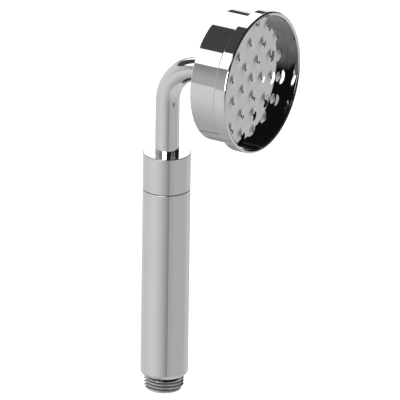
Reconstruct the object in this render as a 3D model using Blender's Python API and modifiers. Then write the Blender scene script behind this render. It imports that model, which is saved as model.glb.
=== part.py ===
"""Handheld shower head: handle, swivelling neck and round spray head, with the parts inside."""
import math

import bmesh
import bpy

MM = 0.001

# Driving dimensions, in millimetres. The hose inlet's end face is the origin and +Z runs up the handle.
GAP = 0.3                # running and assembly gap between neighbours
GRIP_R = 12.7            # a one-inch handle
GRIP_BORE_R = 11.2
GRIP_BOTTOM_Z = 8.2
GRIP_EDGE_R = 2.5        # rounded lower edge
FLOOR_TOP_Z = 16.0       # top of the solid floor that the tail screws into
FLOOR_BORE_R = 9.8
SEAM_Z = 113.4           # seam between grip and collar
COLLAR_TOP_Z = 133.7
COLLAR_WALL_R = 9.0      # radius of the collar's cavity
COLLAR_CEILING_Z = 130.7
SPIGOT_R = 10.9          # collar's lower spigot, inside the grip
SPIGOT_BOTTOM_Z = 104.0

THREAD_R = 10.478        # G1/2: 20.955 mm over the crests
THREAD_ROOT_R = 9.316
THREAD_PITCH = 1.814
THREAD_CRESTS = 4
TAIL_R = 9.5
TAIL_TOP_Z = 22.0
INLET_R = 7.5
INLET_STEP_Z = 8.0
INLET_INNER_R = 6.2

NECK_R = 6.35            # a half-inch tube
NECK_BORE_R = 5.0
NECK_BEND_R = 22.0
NECK_FOOT_Z = 122.3
HEAD_Z = 184.5           # height of the head's axis

BACK_X = 35.3            # rear face of the head
RING_X = 51.1            # rear edge of the front ring
PLATE_X = 51.8           # front of the spray plate
RIM_X = 58.8             # front of the rim
BODY_R = 35.2
BODY_BORE_R = 33.5
RING_R = 38.1            # a three-inch face
RING_BORE_R = 35.7
BACK_WALL = 2.0

DOME_R = 4.6
DOME_HEIGHT = 0.42
JET_R = 0.7
JET_RINGS = ((0.0, 1), (10.0, 5), (20.0, 10), (30.0, 15))
JET_START_DEG = -13.5    # the spoke that every ring of jets shares, from +Y toward +Z

OUTER_STEPS = 48         # facets round the outer shells
THREAD_STEPS = 30
INNER_STEPS = 24         # facets round the parts inside

METALS = {
    "chrome": ((0.86, 0.86, 0.86), 0.04, 1.0),
    "brass": ((0.78, 0.62, 0.30), 0.25, 1.0),
    "steel": ((0.62, 0.62, 0.62), 0.22, 1.0),
    "rubber": ((0.02, 0.02, 0.02), 0.60, 0.0),
    "white_plastic": ((0.80, 0.80, 0.78), 0.40, 0.0),
    "grey_plastic": ((0.30, 0.31, 0.32), 0.45, 0.0),
}


def make_collection(name):
    collection = bpy.data.collections.new(name)
    bpy.context.scene.collection.children.link(collection)
    return collection


def clear_scene():
    for obj in list(bpy.data.objects):
        bpy.data.objects.remove(obj, do_unlink=True)


clear_scene()
PARTS = make_collection("handheld_shower_head")
CUTTERS = make_collection("cutters")


def add_material(obj, kind):
    colour, roughness, metallic = METALS[kind]
    material = bpy.data.materials.new(obj.name)
    material.use_nodes = True
    shader = material.node_tree.nodes["Principled BSDF"]
    shader.inputs["Base Color"].default_value = (*colour, 1.0)
    shader.inputs["Roughness"].default_value = roughness
    shader.inputs["Metallic"].default_value = metallic
    material.diffuse_color = (*colour, 1.0)
    obj.data.materials.append(material)


def link(obj, collection=PARTS):
    collection.objects.link(obj)
    return obj


def add_empty(name, place):
    empty = link(bpy.data.objects.new(name, None))
    empty.location = [MM * c for c in place]
    return empty


def turned(name, outline, kind, steps=INNER_STEPS, collection=PARTS):
    """A closed outline of (radius, height) points, outer side first from the top down, turned about Z."""
    mesh = bpy.data.meshes.new(name)
    points = [(MM * r, 0.0, MM * z) for r, z in outline]
    edges = [(i, i + 1) for i in range(len(points) - 1)]
    if outline[0][0] > 0.0:
        edges.append((len(points) - 1, 0))
    mesh.from_pydata(points, edges, [])
    obj = link(bpy.data.objects.new(name, mesh), collection)
    screw = obj.modifiers.new("turn", "SCREW")
    screw.axis = "Z"
    screw.steps = steps
    screw.render_steps = steps
    screw.use_merge_vertices = True
    screw.merge_threshold = 0.00001
    screw.use_smooth_shade = True
    if kind:
        add_material(obj, kind)
    return obj


def sleeve(name, inner_r, outer_r, bottom, top, kind, steps=INNER_STEPS):
    """A plain turned ring."""
    outline = [(outer_r, top), (outer_r, bottom), (inner_r, bottom), (inner_r, top)]
    return turned(name, outline, kind, steps)


def rod(name, radius, bottom, top, kind=None, steps=INNER_STEPS, collection=PARTS):
    outline = [(0.0, top), (radius, top), (radius, bottom), (0.0, bottom)]
    return turned(name, outline, kind, steps, collection)


def o_ring(name, major, minor, height, kind="rubber", steps=INNER_STEPS, sides=6):
    """A torus, from the primitive, lying level at the given height."""
    bpy.ops.mesh.primitive_torus_add(
        major_radius=MM * major,
        minor_radius=MM * minor,
        major_segments=steps,
        minor_segments=sides,
        location=(0.0, 0.0, MM * height),
    )
    obj = bpy.context.active_object
    obj.name = name
    obj.data.name = name
    for collection in list(obj.users_collection):
        collection.objects.unlink(obj)
    link(obj)
    obj.data.shade_smooth()
    add_material(obj, kind)
    return obj


def arc(centre, radius, start_deg, end_deg, count):
    """Points on a round stretch of an outline, both ends included."""
    angles = [start_deg + (end_deg - start_deg) * i / count for i in range(count + 1)]
    return [
        (centre[0] + radius * math.cos(math.radians(a)), centre[1] + radius * math.sin(math.radians(a)))
        for a in angles
    ]


def hide_cutter(obj):
    obj.hide_render = True
    obj.display_type = "WIRE"


def cut(obj, cutter, operation="DIFFERENCE"):
    boolean = obj.modifiers.new(f"cut_{cutter.name}", "BOOLEAN")
    boolean.operation = operation
    boolean.object = cutter
    boolean.solver = "EXACT"
    hide_cutter(cutter)


def drills(name, spots, radius, bottom, top, sides=12):
    """One cutter that holds a straight drill at every (x, y) spot."""
    mesh = bpy.data.meshes.new(name)
    work = bmesh.new()
    for x, y in spots:
        made = bmesh.ops.create_cone(
            work,
            cap_ends=True,
            segments=sides,
            radius1=MM * radius,
            radius2=MM * radius,
            depth=MM * (top - bottom),
        )
        bmesh.ops.translate(work, verts=made["verts"], vec=(MM * x, MM * y, MM * (top + bottom) / 2))
    work.to_mesh(mesh)
    work.free()
    obj = link(bpy.data.objects.new(name, mesh), CUTTERS)
    hide_cutter(obj)
    return obj


def circle_spots(radius, count, start_deg=0.0):
    step = 2.0 * math.pi / count
    start = math.radians(start_deg)
    return [(radius * math.cos(start + step * i), radius * math.sin(start + step * i)) for i in range(count)]


# Handle: everything that stays with the grip.

def add_grip():
    edge_centre = (GRIP_R - GRIP_EDGE_R, GRIP_BOTTOM_Z + GRIP_EDGE_R)
    top = SEAM_Z - GAP / 2
    outline = [(GRIP_R - 0.2, top), (GRIP_R, top - 0.2)]
    outline += arc(edge_centre, GRIP_EDGE_R, 0.0, -90.0, 6)
    outline += [
        (FLOOR_BORE_R, GRIP_BOTTOM_Z),
        (FLOOR_BORE_R, FLOOR_TOP_Z),
        (GRIP_BORE_R, FLOOR_TOP_Z),
        (GRIP_BORE_R, top),
    ]
    turned("handle_grip", outline, "chrome", OUTER_STEPS)


def add_collar():
    bottom = SEAM_Z + GAP / 2
    groove_z = 109.0
    groove_half = 0.65
    groove_r = 9.9
    outline = [
        (GRIP_R - 0.35, COLLAR_TOP_Z),
        (GRIP_R, COLLAR_TOP_Z - 0.35),
        (GRIP_R, bottom + 0.2),
        (GRIP_R - 0.2, bottom),
        (SPIGOT_R, bottom),
        (SPIGOT_R, groove_z + groove_half),
        (groove_r, groove_z + groove_half),
        (groove_r, groove_z - groove_half),
        (SPIGOT_R, groove_z - groove_half),
        (SPIGOT_R, SPIGOT_BOTTOM_Z + 0.4),
        (SPIGOT_R - 0.4, SPIGOT_BOTTOM_Z),
        (COLLAR_WALL_R, SPIGOT_BOTTOM_Z),
        (COLLAR_WALL_R, COLLAR_CEILING_Z),
        (NECK_R + GAP, COLLAR_CEILING_Z),
        (NECK_R + GAP, COLLAR_TOP_Z),
    ]
    turned("handle_collar", outline, "chrome", OUTER_STEPS)
    o_ring("collar_o_ring", 10.55, 0.35, groove_z)


def add_hose_tail():
    """The male G1/2 stub, its shank in the grip's floor, and the stepped bore with its seal groove."""
    groove_z = 12.5
    groove_half = 0.75
    outline = [(TAIL_R, TAIL_TOP_Z)]
    outline += [
        (TAIL_R, groove_z + groove_half),
        (8.3, groove_z + groove_half),
        (8.3, groove_z - groove_half),
        (TAIL_R, groove_z - groove_half),
        (TAIL_R, GRIP_BOTTOM_Z),
    ]
    first_crest_z = GRIP_BOTTOM_Z - 0.75 * THREAD_PITCH
    for i in range(THREAD_CRESTS):
        crest_z = first_crest_z - i * THREAD_PITCH
        outline += [
            (THREAD_ROOT_R, crest_z + 0.42 * THREAD_PITCH),
            (THREAD_R, crest_z + 0.08 * THREAD_PITCH),
            (THREAD_R, crest_z - 0.08 * THREAD_PITCH),
            (THREAD_ROOT_R, crest_z - 0.42 * THREAD_PITCH),
        ]
    outline += [(9.0, 0.0), (INLET_R, 0.0), (INLET_R, INLET_STEP_Z), (INLET_INNER_R, INLET_STEP_Z)]
    outline += [(INLET_INNER_R, TAIL_TOP_Z)]
    turned("hose_tail", outline, "chrome", THREAD_STEPS)
    o_ring("tail_o_ring", 9.05, 0.45, groove_z)
    sleeve("tail_lock_nut", TAIL_R + GAP, GRIP_BORE_R - GAP, FLOOR_TOP_Z + GAP, 20.0, "brass")


def add_inlet_filter():
    bottom = 6.5
    top = INLET_STEP_Z - GAP
    disc = rod("inlet_filter", INLET_R - GAP, bottom, top, "steel")
    spots = [(0.0, 0.0)] + circle_spots(2.5, 6) + circle_spots(5.0, 12)
    cut(disc, drills("filter_holes", spots, 0.75, bottom - 1.0, top + 1.0, 6))


def add_flow_regulator():
    """A slotted cup with a centre pin, and the elastomer ring round the pin. Returns the cup's top."""
    bottom = TAIL_TOP_Z + GAP
    floor = bottom + 2.0
    top = floor + 2.2
    outline = [
        (9.0, top),
        (9.0, bottom),
        (0.0, bottom),
    ]
    inner = [(0.0, top - 0.4), (2.2, top - 0.4), (2.2, floor), (8.0, floor), (8.0, top)]
    body = turned("flow_regulator_body", inner + outline, "white_plastic")
    cut(body, drills("regulator_slots", circle_spots(4.6, 8), 0.8, bottom - 1.0, floor + 1.0, 8))
    o_ring("flow_regulator_ring", 4.6, 0.8, floor + 0.8 + GAP)
    return top


def add_check_valve(bottom):
    """Housing with its seat, guide plate, poppet with stem, seal and return spring.

    Returns the moving pieces and the height of the socket that takes the water tube.
    """
    seat_top = bottom + 2.0
    socket_z = seat_top + 15.0
    housing_top = socket_z + 5.8
    turned("valve_housing", [
        (9.0, housing_top),
        (9.0, bottom + 0.5),
        (8.5, bottom),
        (4.0, bottom),
        (4.0, seat_top),
        (6.8, seat_top),
        (6.8, socket_z),
        (7.3, socket_z),
        (7.3, housing_top),
    ], "grey_plastic")
    guide_bottom = seat_top + 10.0
    guide = turned("valve_guide", [
        (6.5, guide_bottom + 2.0),
        (6.5, guide_bottom),
        (1.3, guide_bottom),
        (1.3, guide_bottom + 2.0),
    ], "white_plastic")
    cut(guide, drills("guide_holes", circle_spots(4.0, 6), 1.5, guide_bottom - 1.0, guide_bottom + 3.0, 8))
    disc_bottom = seat_top + 1.3
    disc_top = disc_bottom + 1.4
    poppet = turned("valve_poppet", [
        (0.0, guide_bottom + 3.2),
        (1.0, guide_bottom + 3.2),
        (1.0, disc_top),
        (5.2, disc_top),
        (5.2, disc_bottom),
        (1.6, disc_bottom),
        (1.6, bottom + 0.6),
        (0.0, bottom + 0.2),
    ], "white_plastic")
    seal = sleeve("poppet_seal", 1.6 + GAP, 5.2, seat_top + GAP, disc_bottom - GAP, "rubber")
    spring_bottom = disc_top + GAP
    spring_top = guide_bottom - GAP
    spring = add_spring("valve_spring", 2.5, 0.25, spring_bottom, spring_top)
    return [poppet, seal, spring], socket_z


def add_spring(name, radius, wire, bottom, top, turns=5, steps=12):
    """A coil with closed ends: the pitch eases in over the first and the last turn."""
    curve = bpy.data.curves.new(name, "CURVE")
    curve.dimensions = "3D"
    curve.bevel_depth = MM * wire
    curve.bevel_resolution = 2
    curve.use_fill_caps = True
    spline = curve.splines.new("POLY")
    count = turns * steps + 1
    spline.points.add(count - 1)
    rise = top - bottom - 2.0 * wire
    for i in range(count):
        share = i / (count - 1)
        eased = share - 0.06 * math.sin(2.0 * math.pi * share)
        angle = 2.0 * math.pi * turns * share
        x = radius * math.cos(angle)
        y = radius * math.sin(angle)
        z = bottom + wire + rise * eased
        spline.points[i].co = (MM * x, MM * y, MM * z, 1.0)
    obj = link(bpy.data.objects.new(name, curve))
    add_material(obj, "steel")
    return obj


def add_water_tube(bottom):
    top = 103.2
    sleeve("water_tube", 5.8, 7.0, bottom + GAP, top, "white_plastic")


def add_gland():
    """The threaded sleeve in the collar, and the bearings either side of the neck's flange."""
    outer = COLLAR_WALL_R - GAP
    turned("gland_nut", [
        (outer, 117.7),
        (outer, 94.0),
        (7.3, 94.0),
        (7.3, 103.5),
        (6.0, 103.5),
        (6.0, 105.2),
        (7.6, 105.2),
        (7.6, 117.7),
    ], "brass")
    sleeve("thrust_washer", 7.3, outer, 118.0, 119.0, "white_plastic")
    sleeve("thrust_sleeve", NECK_R + GAP, outer, NECK_FOOT_Z, COLLAR_CEILING_Z - GAP, "white_plastic")


# Neck and head: everything that turns with the neck.

def add_swivel_spigot():
    """The neck's foot: a nose inside the tube, a flange, and a shank with two seal grooves."""
    shank_r = 7.0
    floor_r = 5.6
    groove_half = 1.0
    seal_heights = (113.0, 109.0)
    outline = [
        (NECK_BORE_R - GAP, 133.0),
        (NECK_BORE_R - GAP, 122.0),
        (COLLAR_WALL_R - GAP, 122.0),
        (COLLAR_WALL_R - GAP, 119.3),
        (shank_r, 119.3),
    ]
    for height in seal_heights:
        outline += [
            (shank_r, height + groove_half),
            (floor_r, height + groove_half),
            (floor_r, height - groove_half),
            (shank_r, height - groove_half),
        ]
    outline += [(shank_r, 105.9), (shank_r - 0.4, 105.5), (3.7, 105.5), (3.7, 133.0)]
    spigot = turned("swivel_spigot", outline, "brass")
    names = ("swivel_o_ring_upper", "swivel_o_ring_lower")
    seals = [o_ring(name, 6.6, 0.7, height) for name, height in zip(names, seal_heights)]
    return [spigot] + seals


def neck_route():
    """Centre line of the neck: straight up, a quarter turn, then straight into the head's back."""
    turn_count = 14
    start = (0.0, NECK_FOOT_Z)
    bend_centre = (NECK_BEND_R, HEAD_Z - NECK_BEND_R)
    bend = arc(bend_centre, NECK_BEND_R, 180.0, 90.0, turn_count)
    end = (BACK_X + 0.7, HEAD_Z)
    return [start] + bend + [end]


def swept(name, route, radius, overshoot, resolution):
    """A round bar along the route, as a closed mesh."""
    curve = bpy.data.curves.new(name, "CURVE")
    curve.dimensions = "3D"
    curve.bevel_depth = MM * radius
    curve.bevel_resolution = resolution
    curve.use_fill_caps = True
    spline = curve.splines.new("POLY")
    spline.points.add(len(route) - 1)
    points = [list(p) for p in route]
    points[0][1] -= overshoot
    points[-1][0] += overshoot
    for point, (x, z) in zip(spline.points, points):
        point.co = (MM * x, 0.0, MM * z, 1.0)
    bar = link(bpy.data.objects.new(name, curve))
    bpy.context.view_layer.update()
    evaluated = bar.evaluated_get(bpy.context.evaluated_depsgraph_get())
    mesh = bpy.data.meshes.new_from_object(evaluated)
    work = bmesh.new()
    work.from_mesh(mesh)
    bmesh.ops.remove_doubles(work, verts=work.verts, dist=0.000001)
    bmesh.ops.recalc_face_normals(work, faces=work.faces)
    work.to_mesh(mesh)
    work.free()
    solid = bpy.data.objects.new(name, mesh)
    solid.matrix_world = bar.matrix_world
    bpy.data.objects.remove(bar, do_unlink=True)
    solid.name = name
    return solid


def add_neck_tube():
    route = neck_route()
    tube = link(swept("neck_tube", route, NECK_R, 0.0, 10))
    bore = link(swept("neck_bore", route, NECK_BORE_R, 2.0, 4), CUTTERS)
    cut(tube, bore)
    tube.data.shade_smooth()
    tube.data.set_sharp_from_angle(angle=math.radians(40.0))
    add_material(tube, "chrome")
    return [tube]


def add_rose_spigot():
    """Threaded sleeve in the neck's end. The head's pieces are turned about Z, then tipped to +X."""
    shoulder = BACK_X + 0.7 + GAP
    tip = 44.0
    return [turned("rose_spigot", [
        (5.75 - 0.4, tip),
        (5.75, tip - 0.4),
        (5.75, shoulder),
        (NECK_BORE_R - GAP, shoulder),
        (NECK_BORE_R - GAP, 26.0),
        (3.7, 26.0),
        (3.7, tip),
    ], "brass")]


def add_rose_clamp():
    inside = BACK_X + BACK_WALL
    washer = sleeve("rose_washer", 6.05, 10.5, inside + GAP, inside + 1.3, "rubber")
    nut_bottom = inside + 1.3 + GAP
    nut_height = 4.0
    bpy.ops.mesh.primitive_cylinder_add(
        vertices=6,
        radius=MM * 10.4,
        depth=MM * nut_height,
        location=(0.0, 0.0, MM * (nut_bottom + nut_height / 2)),
    )
    nut = bpy.context.active_object
    nut.name = "rose_nut"
    for collection in list(nut.users_collection):
        collection.objects.unlink(nut)
    link(nut)
    add_material(nut, "brass")
    cut(nut, rod("nut_bore", 5.75 + GAP, nut_bottom - 1.0, nut_bottom + nut_height + 1.0, collection=CUTTERS))
    return [washer, nut]


def add_rose_body():
    front = RING_X - 0.1
    inside = BACK_X + BACK_WALL
    return [turned("rose_body", [
        (BODY_R, front),
        (BODY_R, BACK_X + 0.5),
        (BODY_R - 0.5, BACK_X),
        (NECK_R + GAP, BACK_X),
        (NECK_R + GAP, BACK_X + 1.0),
        (6.05, BACK_X + 1.0),
        (6.05, inside),
        (BODY_BORE_R - 1.0, inside),
        (BODY_BORE_R, inside + 1.0),
        (BODY_BORE_R, front),
    ], "chrome", OUTER_STEPS)]


def add_face_ring():
    return [turned("face_ring", [
        (RING_R - 0.6, RIM_X),
        (RING_R, RIM_X - 0.6),
        (RING_R, RING_X + 1.0),
        (RING_R - 1.0, RING_X),
        (RING_BORE_R, RING_X),
        (RING_BORE_R, RIM_X - 0.6),
        (RING_BORE_R + 0.6, RIM_X),
    ], "chrome", OUTER_STEPS)]


def jet_spots():
    """Places of the jets. Tipping the plate forward turns local -X up, hence the quarter turn."""
    spots = []
    for radius, count in JET_RINGS:
        spots += circle_spots(radius, count, JET_START_DEG + 90.0)
    return spots


def dome_cutter():
    """The domes as one solid to be joined to the plate: each a low cap on a short buried stub."""
    sphere_r = (DOME_R ** 2 + DOME_HEIGHT ** 2) / (2.0 * DOME_HEIGHT)
    levels = (0.6, 1.0)
    sides = 12
    mesh = bpy.data.meshes.new("dome_stock")
    work = bmesh.new()
    for x, y in jet_spots():
        rings = []
        for share in levels:
            r = DOME_R * share
            z = PLATE_X + math.sqrt(sphere_r ** 2 - r ** 2) - (sphere_r - DOME_HEIGHT)
            rings.append((r, z))
        rings.append((DOME_R, PLATE_X - 0.3))
        loops = []
        for r, z in rings:
            made = bmesh.ops.create_circle(work, cap_ends=False, segments=sides, radius=MM * r)
            bmesh.ops.translate(work, verts=made["verts"], vec=(MM * x, MM * y, MM * z))
            loops.append(made["verts"])
        for upper, lower in zip(loops, loops[1:]):
            for i in range(sides):
                j = (i + 1) % sides
                work.faces.new((upper[i], lower[i], lower[j], upper[j]))
        work.faces.new(loops[0])
        work.faces.new(list(reversed(loops[-1])))
    bmesh.ops.recalc_face_normals(work, faces=work.faces)
    work.to_mesh(mesh)
    work.free()
    obj = link(bpy.data.objects.new("dome_stock", mesh), CUTTERS)
    hide_cutter(obj)
    return obj


def add_spray_plate():
    """Face disc with 31 domed jets, a thin edge flange, and a screwed skirt with the seal groove."""
    skirt_r = 33.2
    skirt_in_r = 31.0
    groove_x = 47.0
    groove_half = 0.8
    plate = turned("spray_plate", [
        (0.0, PLATE_X),
        (RING_BORE_R - GAP, PLATE_X),
        (RING_BORE_R - GAP, PLATE_X - 0.5),
        (skirt_r, PLATE_X - 0.5),
        (skirt_r, groove_x + groove_half),
        (31.9, groove_x + groove_half),
        (31.9, groove_x - groove_half),
        (skirt_r, groove_x - groove_half),
        (skirt_r, 45.0),
        (skirt_in_r, 45.0),
        (skirt_in_r, PLATE_X - 2.0),
        (0.0, PLATE_X - 2.0),
    ], "chrome", OUTER_STEPS)
    cut(plate, dome_cutter(), "UNION")
    cut(plate, drills("jet_holes", jet_spots(), JET_R, PLATE_X - 3.0, PLATE_X + 2.0, 8))
    seal = o_ring("face_seal", 32.7, 0.5, groove_x, steps=OUTER_STEPS)
    return [plate, seal]


def add_water_spreader():
    back = 45.6
    front = 46.8
    disc = rod("water_spreader", 30.7, back, front, "white_plastic", 48)
    spots = circle_spots(12.0, 6) + circle_spots(24.0, 12)
    cut(disc, drills("spreader_holes", spots, 1.5, back - 1.0, front + 1.0, 8))
    return [disc]


def carry(objects, axis):
    """Parent pieces, and the cutters that shape them, to the empty that places them."""
    for obj in objects:
        obj.parent = axis
        for modifier in obj.modifiers:
            if modifier.type == "BOOLEAN":
                modifier.object.parent = axis


def main():
    add_grip()
    add_collar()
    add_hose_tail()
    add_inlet_filter()
    regulator_top = add_flow_regulator()
    valve, socket_z = add_check_valve(regulator_top + GAP)
    add_water_tube(socket_z)
    add_gland()

    valve_axis = add_empty("valve_lift_axis", (0.0, 0.0, 0.0))
    carry(valve, valve_axis)

    neck_axis = add_empty("neck_swivel_axis", (0.0, 0.0, 0.0))
    carry(add_swivel_spigot() + add_neck_tube(), neck_axis)

    head_axis = add_empty("head_axis", (0.0, 0.0, HEAD_Z))
    head_axis.rotation_euler = (0.0, math.radians(90.0), 0.0)
    head_axis.parent = neck_axis
    head = add_rose_spigot() + add_rose_clamp() + add_rose_body() + add_face_ring()
    carry(head + add_spray_plate() + add_water_spreader(), head_axis)
    bpy.context.view_layer.update()


main()
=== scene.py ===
import math

import bmesh
import bpy
from mathutils import Matrix, Vector


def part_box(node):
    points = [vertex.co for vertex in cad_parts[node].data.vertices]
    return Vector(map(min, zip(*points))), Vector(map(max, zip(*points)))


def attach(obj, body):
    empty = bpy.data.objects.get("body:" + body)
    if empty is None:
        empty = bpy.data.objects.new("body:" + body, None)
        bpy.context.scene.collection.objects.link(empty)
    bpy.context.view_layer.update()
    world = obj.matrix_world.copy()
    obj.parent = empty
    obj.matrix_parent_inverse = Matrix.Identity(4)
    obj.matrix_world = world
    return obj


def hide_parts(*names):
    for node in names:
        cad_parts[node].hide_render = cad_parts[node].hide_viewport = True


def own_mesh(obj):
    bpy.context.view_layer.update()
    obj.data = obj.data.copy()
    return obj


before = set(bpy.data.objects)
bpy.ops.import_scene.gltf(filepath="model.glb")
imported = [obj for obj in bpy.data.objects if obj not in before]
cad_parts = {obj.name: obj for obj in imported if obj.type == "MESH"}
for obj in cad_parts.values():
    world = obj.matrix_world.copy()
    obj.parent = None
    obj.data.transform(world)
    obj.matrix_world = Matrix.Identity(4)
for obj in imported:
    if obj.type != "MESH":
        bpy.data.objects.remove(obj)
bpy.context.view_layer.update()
print("frame loaded:", len(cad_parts), "nodes")

mm = 0.001
scene = bpy.context.scene

softEdge = 0.2 * mm     # edge breaks that many turned pieces share
fineEdge = 0.15 * mm

# places that several pieces share, read from the frame
gripLow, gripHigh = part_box("handle_grip")
collarLow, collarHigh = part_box("handle_collar")
neckLow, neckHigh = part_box("neck_tube")
shellLow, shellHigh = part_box("rose_body")
ringLow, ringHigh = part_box("face_ring")
plateLow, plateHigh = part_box("spray_plate")
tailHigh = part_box("hose_tail")[1]
headZ = (ringLow.z + ringHigh.z) / 2
neckRadius = neckHigh.y
gap = 0.3 * mm


def roundCorners(corners, arcSteps=5):
    # each corner is (radius, height) or (radius, height, fillet)
    points = []
    for i, corner in enumerate(corners):
        here = Vector(corner[:2])
        fillet = corner[2] if len(corner) > 2 else 0.0
        if fillet == 0.0:
            points.append(here)
            continue
        back = (Vector(corners[i - 1][:2]) - here).normalized()
        onward = (Vector(corners[(i + 1) % len(corners)][:2]) - here).normalized()
        half = back.angle(onward) / 2
        centre = here + (back + onward).normalized() * fillet / math.sin(half)
        spoke = here + back * fillet / math.tan(half) - centre
        side = 1.0 if back.x * onward.y - back.y * onward.x < 0.0 else -1.0
        swing = (math.pi - 2 * half) * side
        for k in range(arcSteps + 1):
            points.append(centre + Matrix.Rotation(swing * k / arcSteps, 2) @ spoke)
    return points


def addSupports(points, margin, closed):
    # extra points beside the ends of long flats, so that shading stays flat there
    made = []
    count = len(points) if closed else len(points) - 1
    for i in range(count):
        start = points[i]
        end = points[(i + 1) % len(points)]
        made.append(start)
        if (end - start).length > 6 * margin:
            step = (end - start).normalized() * margin
            made += [start + step, end - step]
    if not closed:
        made.append(points[-1])
    return made


def alongZ(radius, height, angle):
    return (radius * math.cos(angle), radius * math.sin(angle), height)


def alongX(radius, height, angle):
    # the head's pieces are turned about its own axis, which runs along X
    return (height, radius * math.cos(angle), headZ + radius * math.sin(angle))


def meshFrom(work, name):
    mesh = bpy.data.meshes.new(name)
    work.to_mesh(mesh)
    work.free()
    return mesh


def latheMesh(name, corners, steps=160, place=alongZ, margin=0.15 * mm, arcSteps=5):
    onAxis = corners[0][0] == 0.0
    points = addSupports(roundCorners(corners, arcSteps), margin, not onAxis)
    work = bmesh.new()
    rings = []
    turns = [2 * math.pi * k / steps for k in range(steps)]
    for radius, height in points:
        if radius < 1e-9:
            rings.append([work.verts.new(place(0.0, height, 0.0))] * steps)
        else:
            rings.append([work.verts.new(place(radius, height, turn)) for turn in turns])
    pairs = list(zip(rings, rings[1:]))
    if not onAxis:
        pairs.append((rings[-1], rings[0]))
    for upper, lower in pairs:
        for k in range(steps):
            n = (k + 1) % steps
            corner = [upper[k], lower[k], lower[n], upper[n]]
            work.faces.new(list(dict.fromkeys(corner)))
    bmesh.ops.recalc_face_normals(work, faces=work.faces)
    return meshFrom(work, name)


def finishPiece(name, mesh, material, body, replaced=(), sharp=32.0):
    piece = bpy.data.objects.new(name, mesh)
    scene.collection.objects.link(piece)
    mesh.shade_smooth()
    mesh.set_sharp_from_angle(angle=math.radians(sharp))
    mesh.materials.clear()
    mesh.materials.append(material)
    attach(piece, body)
    if replaced:
        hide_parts(*replaced)
    return piece


def carve(mesh, tool):
    # cuts one closed mesh out of another and returns the result
    stock = bpy.data.objects.new("stock", mesh)
    cutter = bpy.data.objects.new("cutter", tool)
    for obj in (stock, cutter):
        scene.collection.objects.link(obj)
    modifier = stock.modifiers.new("carve", "BOOLEAN")
    modifier.object = cutter
    modifier.operation = "DIFFERENCE"
    modifier.solver = "EXACT"
    bpy.context.view_layer.update()
    carved = bpy.data.meshes.new_from_object(stock.evaluated_get(bpy.context.evaluated_depsgraph_get()))
    for obj in (stock, cutter):
        bpy.data.objects.remove(obj, do_unlink=True)
    return carved


def drillMesh(spots, radius, low, high, place, segments=24):
    # round drills through the given (x, y) spots, from low to high along the piece's axis
    work = bmesh.new()
    for x, y in spots:
        ends = []
        for height in (low, high):
            rim = [Vector((x, y)) + Vector(spot) for spot in ringSpots(radius, segments)]
            ends.append([work.verts.new(place(p.length, height, math.atan2(p.y, p.x))) for p in rim])
            work.faces.new(ends[-1])
        for k in range(segments):
            n = (k + 1) % segments
            work.faces.new((ends[0][k], ends[0][n], ends[1][n], ends[1][k]))
    bmesh.ops.recalc_face_normals(work, faces=work.faces)
    return meshFrom(work, "drills")


def ringSpots(radius, count):
    return [(radius * math.cos(2 * math.pi * k / count), radius * math.sin(2 * math.pi * k / count))
            for k in range(count)]


def lathe(name, corners, material, body, replaced, slot, **options):
    return finishPiece(name, latheMesh(name, corners, **options), material, body, replaced)


def newTree(name, inputs):
    tree = bpy.data.node_groups.new(name, "GeometryNodeTree")
    tree.interface.new_socket("Geometry", in_out="INPUT", socket_type="NodeSocketGeometry")
    for label, (kind, value) in inputs.items():
        socket = tree.interface.new_socket(label, in_out="INPUT", socket_type="NodeSocket" + kind)
        if value is not None:
            socket.default_value = value
    tree.interface.new_socket("Geometry", in_out="OUTPUT", socket_type="NodeSocketGeometry")
    return tree


def addNode(tree, kind, settings=None, **links):
    # links gives sockets by name: another socket to join, or a plain value
    node = tree.nodes.new(kind)
    for key, value in (settings or {}).items():
        setattr(node, key, value)
    for key, value in links.items():
        wire(tree, node, key, value)
    return node


def wire(tree, node, key, value):
    socket = node.inputs[key] if isinstance(key, int) else node.inputs[key.replace("_", " ")]
    if isinstance(value, bpy.types.NodeSocket):
        tree.links.new(value, socket)
    else:
        socket.default_value = value


def grow(tree, kind, settings=None, **links):
    # one geometry node, and what comes out of it
    return addNode(tree, "GeometryNode" + kind, settings, **links).outputs[0]


def combine(tree, **parts):
    return addNode(tree, "ShaderNodeCombineXYZ", **parts).outputs[0]


def endTree(tree, geometry, material):
    realized = grow(tree, "RealizeInstances", Geometry=geometry)
    painted = grow(tree, "SetMaterial", Geometry=realized, Material=material)
    tree.links.new(painted, tree.nodes.new("NodeGroupOutput").inputs[0])


def roundWire(tree, curve, radius, sides, lift):
    # a round wire along a curve, raised by lift
    circle = grow(tree, "CurvePrimitiveCircle", {"mode": "RADIUS"}, Resolution=sides, Radius=radius)
    body = grow(tree, "CurveToMesh", Curve=curve, Profile_Curve=circle, Fill_Caps=True)
    return grow(tree, "Transform", Geometry=body, Translation=(0.0, 0.0, lift))


def growMesh(name, tree, values=()):
    # runs a tree on an empty mesh and returns the result as a plain mesh
    holder = bpy.data.objects.new(name, bpy.data.meshes.new(name))
    scene.collection.objects.link(holder)
    modifier = holder.modifiers.new("grow", "NODES")
    modifier.node_group = tree
    for item in tree.interface.items_tree:
        if item.in_out == "INPUT" and item.name in values:
            modifier[item.identifier] = values[item.name]
    holder.update_tag()
    bpy.context.view_layer.update()
    mesh = bpy.data.meshes.new_from_object(holder.evaluated_get(bpy.context.evaluated_depsgraph_get()))
    mesh.name = name
    holder.modifiers.clear()
    bpy.data.objects.remove(holder, do_unlink=True)
    return mesh


def newMaterial(name):
    material = bpy.data.materials.new(name)
    material.use_nodes = True
    nodes = material.node_tree.nodes
    return material, material.node_tree, nodes["Principled BSDF"]


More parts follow.
